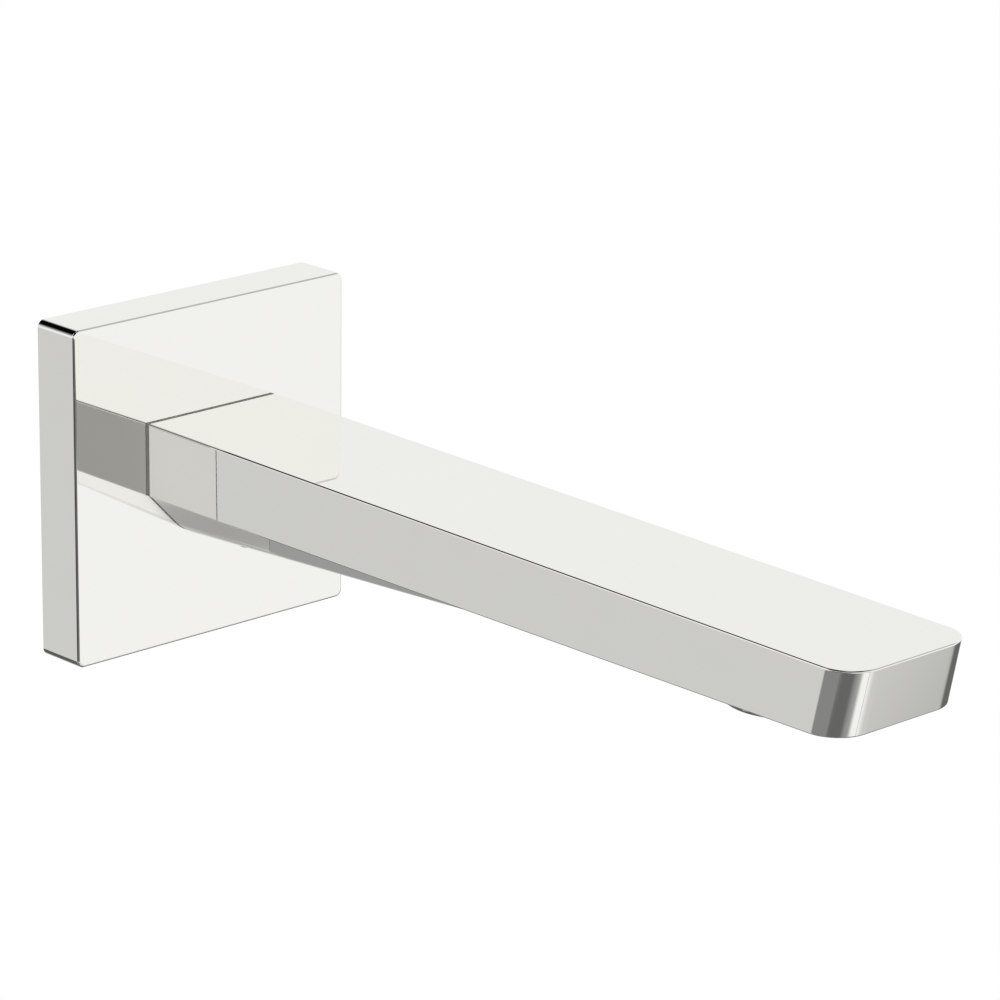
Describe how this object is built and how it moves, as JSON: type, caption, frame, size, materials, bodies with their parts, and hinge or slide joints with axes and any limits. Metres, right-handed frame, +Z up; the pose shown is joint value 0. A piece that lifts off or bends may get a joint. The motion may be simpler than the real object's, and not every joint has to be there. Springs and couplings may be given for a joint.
{
  "type": "wall spout",
  "caption": "Flat rectangular bath spout with a slanted, round-cornered tip and an aerator under it, on a square wall escutcheon, in polished chrome.",
  "frame": {"origin": "centre of the pipe thread where it crosses the finished wall, on the back plane of the escutcheon", "axes": "+X to the right as seen from the front, +Z up, +Y into the wall; the spout reaches along -Y"},
  "size_m": [0.07, 0.2169, 0.07],
  "materials": {
    "chrome_plate": "mirror-polished chrome on brass",
    "bare_brass": "turned",
    "stainless_steel": "bright",
    "rubber_seal": "satin",
    "foam_seal": "closed-cell foam",
    "fibre_washer": "vulcanised fibre",
    "white_acetal": "moulded",
    "grey_acetal": "moulded"
  },
  "bodies": {
    "root": {"escutcheon": "chrome_plate", "escutcheon_rim_seal": "foam_seal", "escutcheon_o_ring": "rubber_seal", "connection_nipple": "bare_brass", "nipple_fibre_washer": "fibre_washer", "nipple_o_ring_rear": "rubber_seal", "nipple_o_ring_front": "rubber_seal", "spout_body": "chrome_plate", "spout_rear_seal": "rubber_seal", "grub_screw": "stainless_steel", "screw_cap": "chrome_plate", "aerator_housing": "chrome_plate", "aerator_seal": "rubber_seal", "aerator_strainer": "grey_acetal", "aerator_jet_plate": "white_acetal", "aerator_body": "white_acetal", "aerator_screen_upper": "stainless_steel", "aerator_screen_spacer": "white_acetal", "aerator_screen_lower": "stainless_steel", "aerator_outlet_grid": "grey_acetal"}
  },
  "joints": []
}
